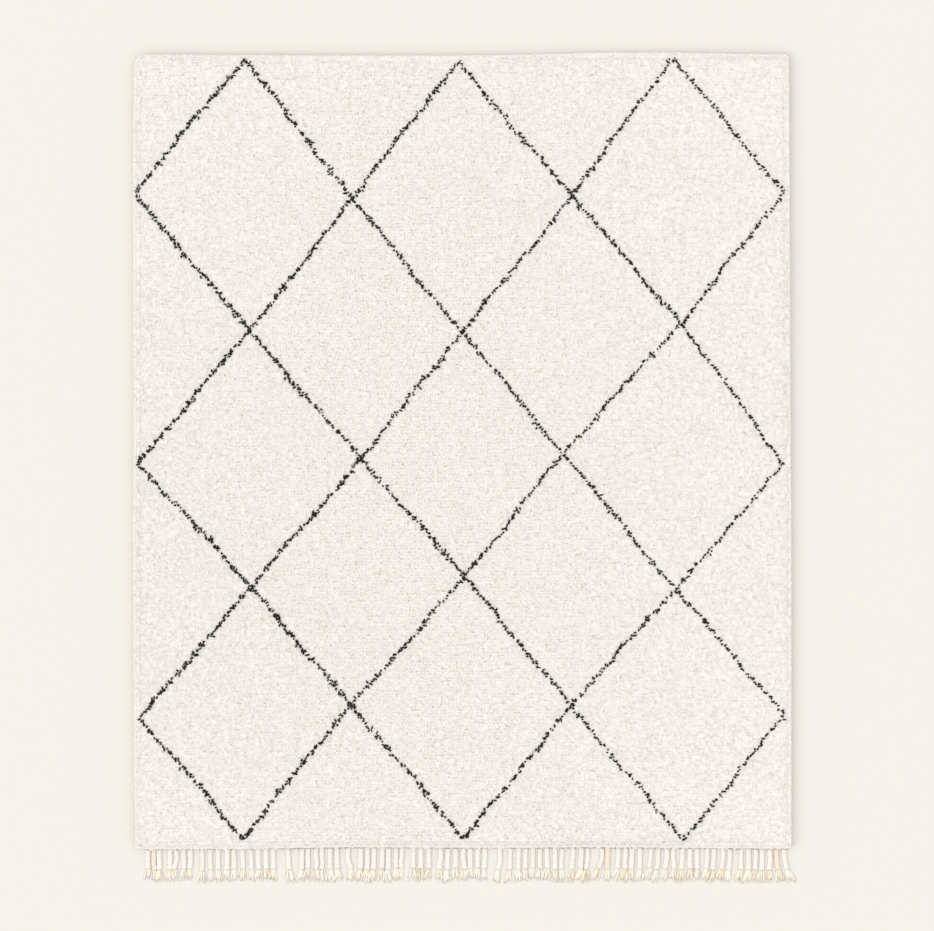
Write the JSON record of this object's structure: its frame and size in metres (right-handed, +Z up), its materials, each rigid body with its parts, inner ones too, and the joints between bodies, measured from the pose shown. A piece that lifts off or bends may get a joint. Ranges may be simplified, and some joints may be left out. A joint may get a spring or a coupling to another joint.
{
  "type": "beni ourain rug",
  "caption": "Flat hand-knotted wool pile rug, cream with a dark diamond lattice, with a knotted warp fringe along one short end.",
  "frame": {"origin": "on the floor plane, under the middle of the whole rug's box, fringe included", "axes": "+X across the width, +Y along the length away from the fringe, +Z up from the floor through the pile"},
  "size_m": [2.0156, 2.5334, 0.024],
  "materials": {
    "cream_wool_pile": "matt undyed sheep's wool, cut pile in soft locks, cream with a lattice of near-black brown wool",
    "undyed_warp_wool": "matt plied wool warp, cream with golden frayed ends"
  },
  "bodies": {
    "root": {"knotted_body": "cream_wool_pile", "warp_fringe": "undyed_warp_wool"}
  },
  "joints": []
}
